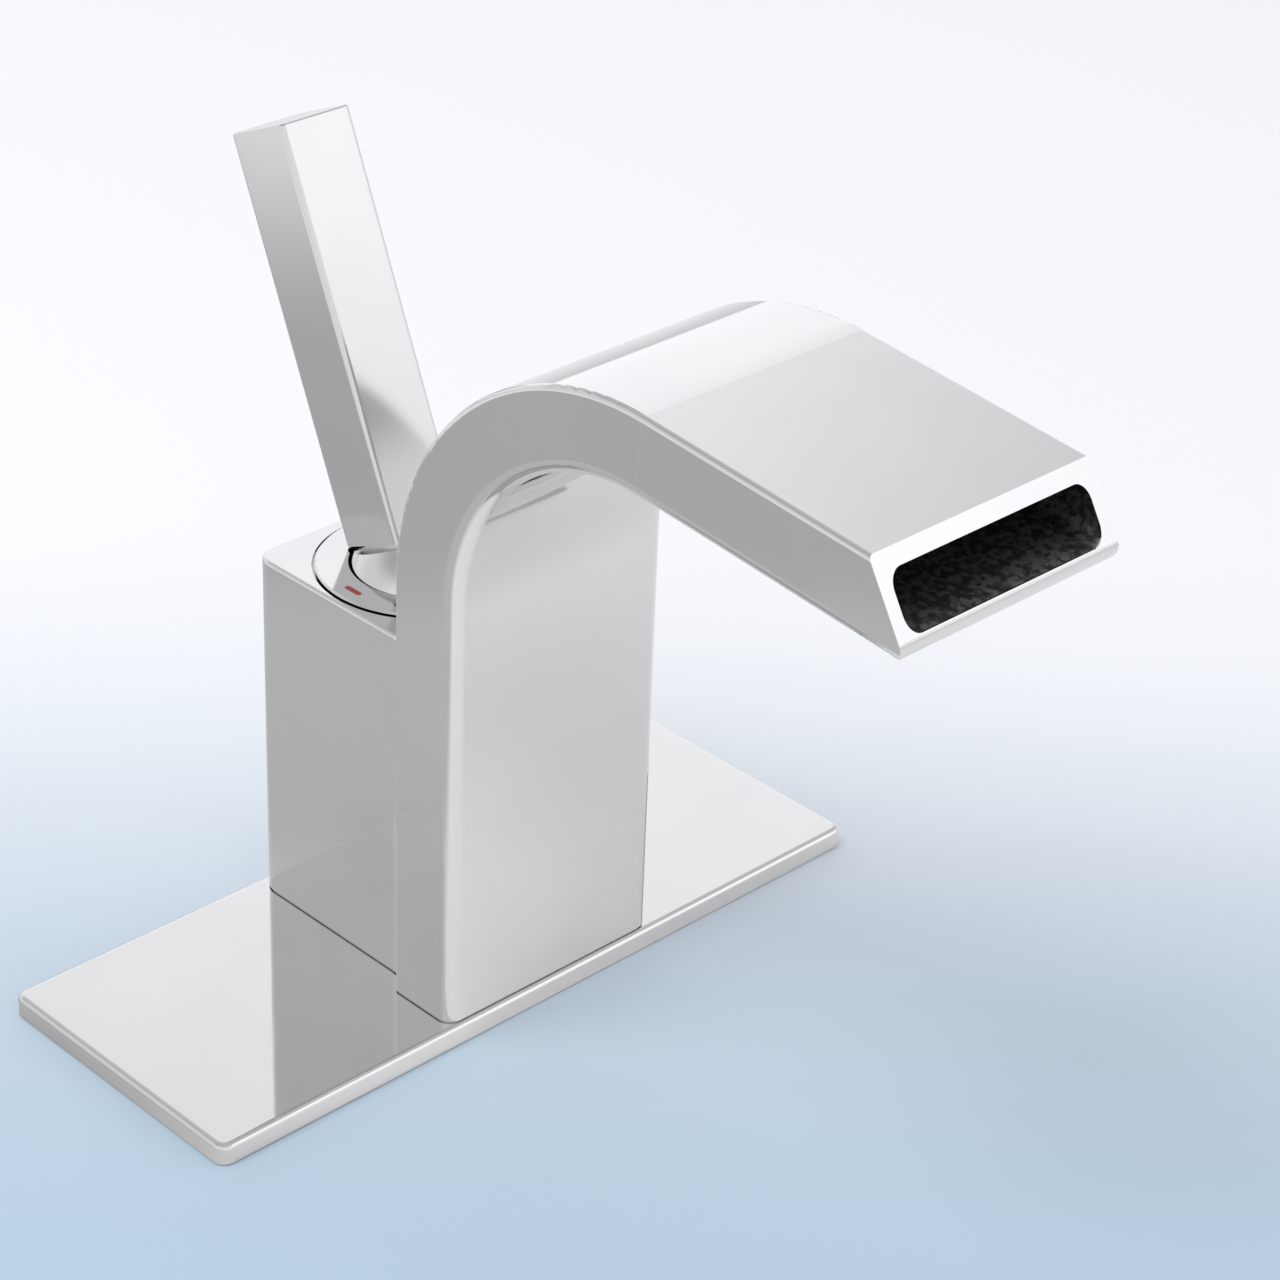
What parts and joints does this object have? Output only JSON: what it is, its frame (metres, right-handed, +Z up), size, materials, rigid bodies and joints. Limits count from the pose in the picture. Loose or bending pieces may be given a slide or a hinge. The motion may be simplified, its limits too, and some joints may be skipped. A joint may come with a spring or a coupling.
{
  "type": "bathroom mixer faucet",
  "caption": "Deck-mounted single-lever basin mixer with a broad arched waterfall spout, a leaning square lever and a rectangular cover plate.",
  "frame": {"origin": "centre of the deck hole, on the deck surface that the cover plate rests on", "axes": "+Z up from the deck, -Y towards the basin (the spout reaches that way), +X to the right as seen from the basin"},
  "size_m": [0.16, 0.183, 0.2152],
  "materials": {
    "polished_chrome": "mirror-polished chrome plate on a pressed cover",
    "chromed_brass": "cast brass under mirror-polished chrome plate",
    "chromed_zinc": "zinc casting under mirror-polished chrome plate",
    "bare_brass": "turned brass, unplated",
    "steel": "stainless or zinc-plated steel",
    "seal_rubber": "matt black rubber",
    "dark_plastic": "dark moulded plastic",
    "cartridge_plastic": "white moulded plastic",
    "disc_ceramic": "lapped alumina ceramic",
    "hot_enamel": "dark red enamel fill",
    "cold_enamel": "blue enamel fill"
  },
  "bodies": {
    "faucet_body": {"body_casting": "chromed_brass", "deck_plate": "polished_chrome", "deck_plate_gasket": "seal_rubber", "base_seal": "seal_rubber", "flow_guide": "dark_plastic", "cartridge_base": "cartridge_plastic", "port_seal_hot": "seal_rubber", "port_seal_cold": "seal_rubber", "port_seal_outlet": "seal_rubber", "fixed_disc": "disc_ceramic", "cartridge_housing": "cartridge_plastic", "glide_ring": "bare_brass", "cartridge_nut": "bare_brass", "trim_ring": "chromed_brass", "hot_mark": "hot_enamel", "cold_mark": "cold_enamel", "stud_front": "bare_brass", "stud_back": "bare_brass", "horseshoe_gasket": "seal_rubber", "horseshoe_washer": "steel", "stud_nut_front": "bare_brass", "stud_nut_back": "bare_brass"},
    "mixing_yoke": {"mixing_yoke": "cartridge_plastic"},
    "lever": {"lever_bar": "chromed_zinc", "lever_hub": "chromed_zinc", "spindle": "steel", "pivot_pin": "steel", "lever_set_screw": "steel", "set_screw_plug": "chromed_zinc"},
    "disc_carrier": {"disc_carrier": "cartridge_plastic", "moving_disc": "disc_ceramic"}
  },
  "joints": [
    {"name": "temperature_swing", "type": "hinge", "parent": "faucet_body", "child": "mixing_yoke", "pos_m": [0, 0.0065, 0.0708], "axis": [0, 0, 1], "range_deg": [-45, 45]},
    {"name": "flow_tilt", "type": "hinge", "parent": "mixing_yoke", "child": "lever", "pos_m": [0, 0.0065, 0.0708], "axis": [1, 0, 0], "range_deg": [0, 23.8]},
    {"name": "disc_slide", "type": "slide", "parent": "mixing_yoke", "child": "disc_carrier", "axis": [0, 1, 0], "range_m": [0, 0.0065]}
  ],
  "couplings": [
    {"joint": "disc_slide", "follows": "flow_tilt", "m_per_rad": 0.015349}
  ]
}
